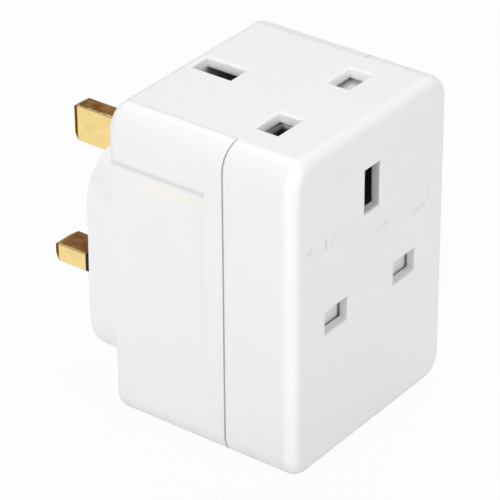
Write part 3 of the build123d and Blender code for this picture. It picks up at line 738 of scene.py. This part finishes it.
def white_floor_material():
    """Diffuse floor that the camera and mirrors see as white, with a faint share of the real shadow left in.
    It is clear from below, so that the underside can be looked at."""
    material, tree, shown = empty_material("studio_floor")
    diffuse = fill(add(tree, "ShaderNodeBsdfDiffuse"), Color=rgba(FLOOR_TONE)).outputs[0]
    glow = fill(add(tree, "ShaderNodeEmission"), Color=rgba(PURE_WHITE), Strength=1.0).outputs[0]
    whitened = mixed_shader(tree, FLOOR_WHITENESS, diffuse, glow)
    path = add(tree, "ShaderNodeLightPath").outputs
    seen = arithmetic(tree, "MAXIMUM", path["Is Camera Ray"], path["Is Glossy Ray"])
    seen = arithmetic(tree, "MAXIMUM", seen, path["Is Transmission Ray"])
    above = mixed_shader(tree, seen, diffuse, whitened)
    clear = add(tree, "ShaderNodeBsdfTransparent").outputs[0]
    below = add(tree, "ShaderNodeNewGeometry").outputs["Backfacing"]
    tree.links.new(mixed_shader(tree, below, above, clear), shown)
    return material


def light_world(strength):
    """Even white room light."""
    world = bpy.data.worlds.new("studio_room")
    bpy.context.scene.world = world
    world.use_nodes = True
    tree = world.node_tree
    tree.nodes.clear()
    room = fill(add(tree, "ShaderNodeBackground"), Color=rgba(PURE_WHITE), Strength=strength)
    output = add(tree, "ShaderNodeOutputWorld")
    tree.links.new(room.outputs[0], output.inputs["Surface"])


def card_material(colour):
    """Plain matt card."""
    material, tree, shown = empty_material("studio_card")
    matt = fill(add(tree, "ShaderNodeBsdfDiffuse"), Color=rgba(colour))
    tree.links.new(matt.outputs[0], shown)
    return material


def softbox(name, place, target, size, watts):
    """Square area lamp aimed at a point."""
    lamp = bpy.data.lights.new(name, "AREA")
    lamp.size = size
    lamp.energy = watts
    made = bpy.data.objects.new(name, lamp)
    made.location = place
    made.rotation_euler = (Vector(target) - Vector(place)).to_track_quat("-Z", "Y").to_euler()
    bpy.context.scene.collection.objects.link(made)


def flat_sheet(name, corners, material):
    """Single rectangle for the stage."""
    mesh = bpy.data.meshes.new(name)
    mesh.from_pydata(list(corners), [], [(0, 1, 2, 3)])
    mesh.materials.append(material)
    sheet = bpy.data.objects.new(name, mesh)
    bpy.context.scene.collection.objects.link(sheet)


# Way the camera looks: unit vectors to the right, down and ahead in the picture
VIEW_RIGHT = (0.600007, -0.799977, -0.005774)
VIEW_DOWN = (-0.409631, -0.301015, -0.861160)
VIEW_AHEAD = (0.687169, 0.519062, -0.508302)
SENSOR_WIDTH = 36.0
NEAREST_SEEN = 0.01


class ADAPTER_OT_stage(bpy.types.Operator):
    """Set up the floor, the lamps and the camera"""

    bl_idname = "adapter.stage"
    bl_label = "Stage"

    def execute(self, context):
        scene = context.scene
        look = scene.adapter_stage
        scene.view_settings.view_transform = "Standard"
        light_world(look.room_light)
        flat_sheet("studio_floor", FLOOR_CORNERS, white_floor_material())
        for name, setting, place, size in SOFTBOXES:
            softbox(name, place, LAMP_AIM, size, getattr(look, setting))
        flat_sheet("brown_card", CARD_CORNERS, card_material(look.card_brown))
        camera = bpy.data.objects.new("camera", bpy.data.cameras.new("camera"))
        scene.collection.objects.link(camera)
        camera.data.sensor_fit = "HORIZONTAL"
        camera.data.sensor_width = SENSOR_WIDTH
        camera.data.lens = look.lens
        camera.data.clip_start = NEAREST_SEEN
        axes = Matrix((VIEW_RIGHT, -Vector(VIEW_DOWN), -Vector(VIEW_AHEAD))).transposed()
        camera.matrix_world = Matrix.Translation(look.eye) @ axes.to_4x4()
        scene.camera = camera
        return {"FINISHED"}


STEPS = (
    ADAPTER_OT_housing,
    ADAPTER_OT_shutters,
    ADAPTER_OT_springs,
    ADAPTER_OT_pins,
    ADAPTER_OT_contacts,
    ADAPTER_OT_fuse,
    ADAPTER_OT_screws,
    ADAPTER_OT_stage,
)


class ADAPTER_PT_looks(bpy.types.Panel):
    """Sidebar list of the adapter's finishing steps"""

    bl_idname = "ADAPTER_PT_looks"
    bl_label = "Socket adapter"
    bl_space_type = "VIEW_3D"
    bl_region_type = "UI"
    bl_category = "Adapter"

    def draw(self, context):
        for step in STEPS:
            self.layout.operator(step.bl_idname)
        for settings in SETTINGS:
            group = getattr(context.scene, settings)
            for name in group.__annotations__:
                self.layout.prop(group, name)


SETTINGS = {
    "adapter_housing": AdapterHousingSettings,
    "adapter_metal": AdapterMetalSettings,
    "adapter_springs": AdapterSpringSettings,
    "adapter_stage": AdapterStageSettings,
}


def register():
    """Add the settings, the steps and the panel"""
    for name, settings in SETTINGS.items():
        bpy.utils.register_class(settings)
        setattr(bpy.types.Scene, name, PointerProperty(type=settings))
    for step in (*STEPS, ADAPTER_PT_looks):
        bpy.utils.register_class(step)


def unregister():
    """Take the panel, the steps and the settings away again"""
    for step in (ADAPTER_PT_looks, *reversed(STEPS)):
        bpy.utils.unregister_class(step)
    for name, settings in SETTINGS.items():
        delattr(bpy.types.Scene, name)
        bpy.utils.unregister_class(settings)


def main():
    """Run every step"""
    register()
    for step in STEPS:
        group, name = step.bl_idname.split(".")
        getattr(getattr(bpy.ops, group), name)()


if __name__ == "__main__":
    main()
